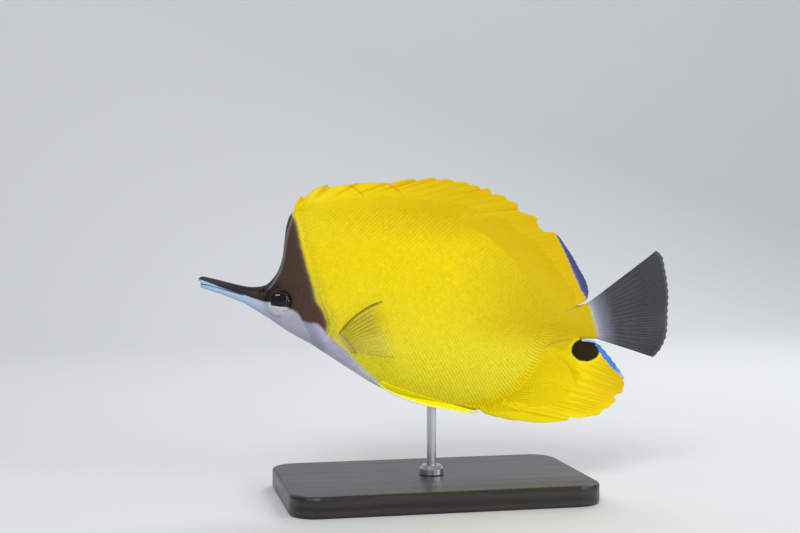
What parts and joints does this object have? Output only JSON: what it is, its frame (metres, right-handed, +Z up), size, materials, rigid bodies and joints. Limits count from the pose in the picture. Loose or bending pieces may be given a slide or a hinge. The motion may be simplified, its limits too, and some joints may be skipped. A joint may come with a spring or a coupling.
{
  "type": "longnose butterflyfish model",
  "caption": "Life-size still model of a longnose butterflyfish, a deep flat-sided yellow reef fish with a tube snout, held nose-up on a low display stand.",
  "frame": {"origin": "centre of the underside of the stand's base, below the rod", "axes": "+X from the snout to the tail, +Z up, the fish's left side faces -Y"},
  "size_m": [0.1648, 0.062, 0.1083],
  "materials": {
    "yellow_skin": "lemon-yellow scaled skin",
    "dark_skin": "brown-black skin of the head",
    "pale_skin": "pale blue-silver skin of the lower jaw",
    "eye_lens": "dark polished eye",
    "tail_membrane": "smoky tail membrane, cast opaque",
    "clear_fin": "thin yellow-olive fin membrane, cast opaque",
    "black_wood": "black-stained satin wood",
    "steel": "satin steel"
  },
  "bodies": {
    "root": {"upper_jaw": "dark_skin", "lower_jaw": "pale_skin", "snout": "dark_skin", "head": "dark_skin", "gill_cover_left": "dark_skin", "gill_cover_right": "dark_skin", "eye_left": "eye_lens", "eye_right": "eye_lens", "trunk": "yellow_skin", "tail_stem": "yellow_skin", "dorsal_fin_spiny": "yellow_skin", "dorsal_fin_soft": "yellow_skin", "anal_fin_spiny": "yellow_skin", "anal_fin_soft": "yellow_skin", "tail_fin": "tail_membrane", "pectoral_fin_left": "clear_fin", "pectoral_fin_right": "clear_fin", "pelvic_fin_left": "yellow_skin", "pelvic_fin_right": "yellow_skin", "stand_base": "black_wood", "stand_rod": "steel", "stand_collar": "steel"}
  },
  "joints": []
}
